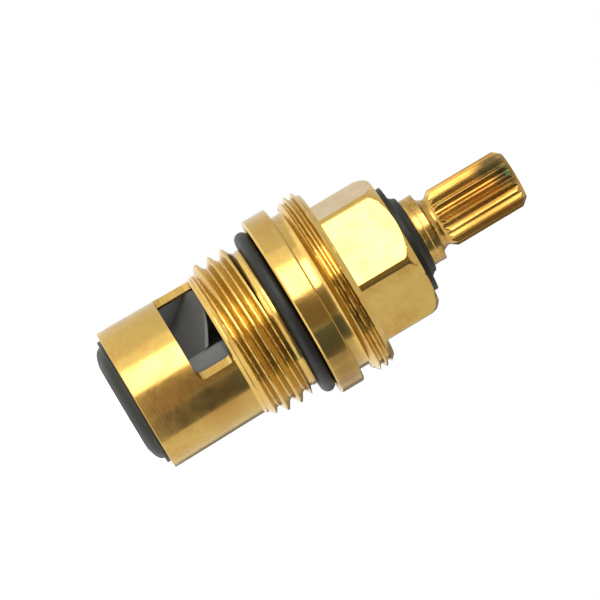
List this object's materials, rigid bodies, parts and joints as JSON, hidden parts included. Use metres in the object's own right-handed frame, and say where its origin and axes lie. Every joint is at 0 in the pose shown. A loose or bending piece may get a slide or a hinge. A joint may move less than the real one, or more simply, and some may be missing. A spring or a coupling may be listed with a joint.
{
  "type": "ceramic disc tap cartridge",
  "caption": "Quarter-turn ceramic disc tap cartridge: brass body with pipe thread, flange, shroud thread and hexagon, splined spindle, water windows and rubber seals.",
  "frame": {"origin": "on the axis, at the end face of the base seal", "axes": "+Z along the spindle towards the handle, +Y and -Y out of the water windows"},
  "size_m": [0.024, 0.024, 0.0551],
  "materials": {
    "body_brass": "turned, satin",
    "spindle_brass": "turned, satin",
    "o_ring_rubber": "matte",
    "seal_rubber": "matte",
    "clip_acetal": "moulded",
    "driver_acetal": "moulded",
    "washer_acetal": "moulded",
    "disc_ceramic": "lapped alumina ceramic"
  },
  "bodies": {
    "housing": {"headwork_body": "body_brass", "body_o_ring": "o_ring_rubber", "thrust_washer": "washer_acetal", "fixed_disc": "disc_ceramic", "base_seal": "seal_rubber", "seal_support_ring": "washer_acetal"},
    "spindle_group": {"spindle": "spindle_brass", "spindle_o_ring_upper": "o_ring_rubber", "spindle_o_ring_lower": "o_ring_rubber", "retaining_clip": "clip_acetal", "disc_driver": "driver_acetal", "moving_disc": "disc_ceramic"}
  },
  "joints": [
    {"name": "spindle_turn", "type": "hinge", "parent": "housing", "child": "spindle_group", "pos_m": [0, 0, 0.03], "axis": [0, 0, 1], "range_deg": [-90, 0]}
  ]
}
